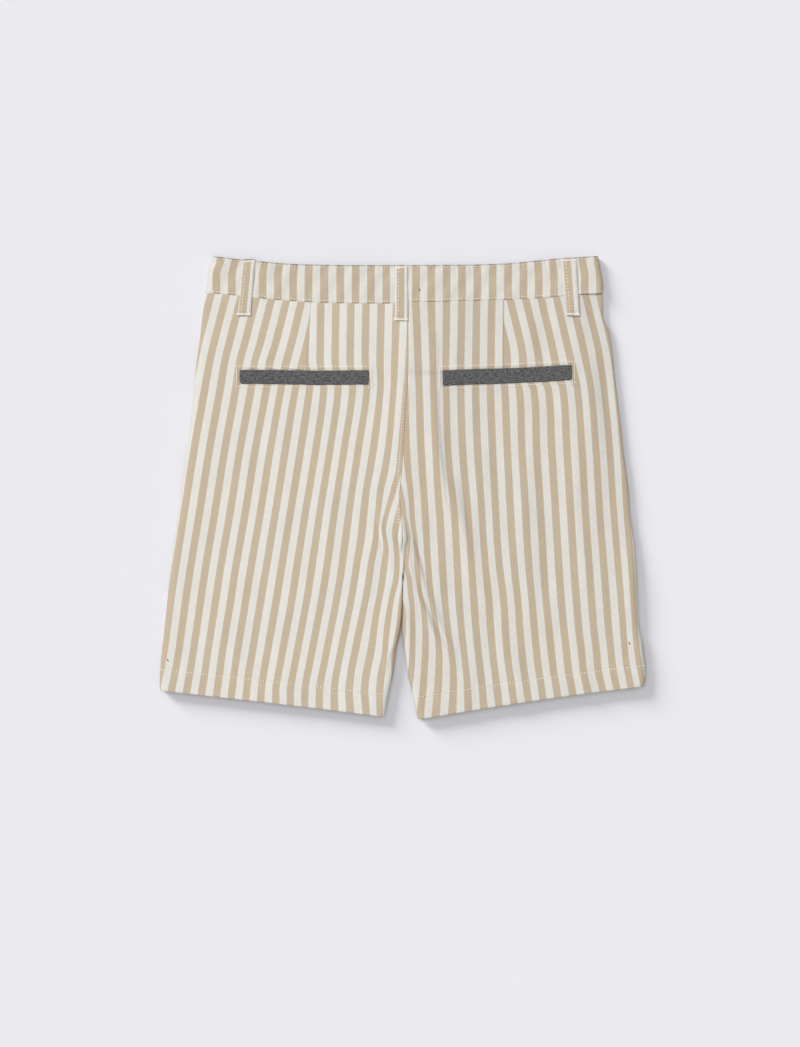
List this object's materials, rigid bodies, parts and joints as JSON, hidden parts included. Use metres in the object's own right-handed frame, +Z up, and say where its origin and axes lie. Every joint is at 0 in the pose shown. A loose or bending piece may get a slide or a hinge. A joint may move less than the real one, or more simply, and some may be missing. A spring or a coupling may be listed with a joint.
{
  "type": "bermuda shorts",
  "caption": "Knee-length striped cotton shorts lying flat on their front, with belt loops, waist darts and grey-edged back pockets.",
  "frame": {"origin": "on the floor under the middle of the garment's outline as it lies on its front", "axes": "+X to the wearer's right, which is the right of the picture; +Y towards the waist; +Z up out of the back of the garment"},
  "size_m": [0.4391, 0.4174, 0.0093],
  "materials": {
    "striped_twill": "matt cotton twill, cream and beige stripes",
    "loop_twill": "matt cotton twill, folded and stitched",
    "grey_chambray": "dark grey melange chambray",
    "horn_button": "satin beige horn-look plastic",
    "zip_tape": "beige woven zip tape"
  },
  "bodies": {
    "root": {"back_left": "striped_twill", "back_right": "striped_twill", "front_left": "striped_twill", "front_right": "striped_twill", "waistband": "striped_twill", "loop_back_left": "loop_twill", "loop_back_centre": "loop_twill", "loop_back_right": "loop_twill", "loop_front_left": "loop_twill", "loop_front_right": "loop_twill", "welt_left": "grey_chambray", "welt_right": "grey_chambray", "button": "horn_button", "fly_zip": "zip_tape"}
  },
  "joints": []
}
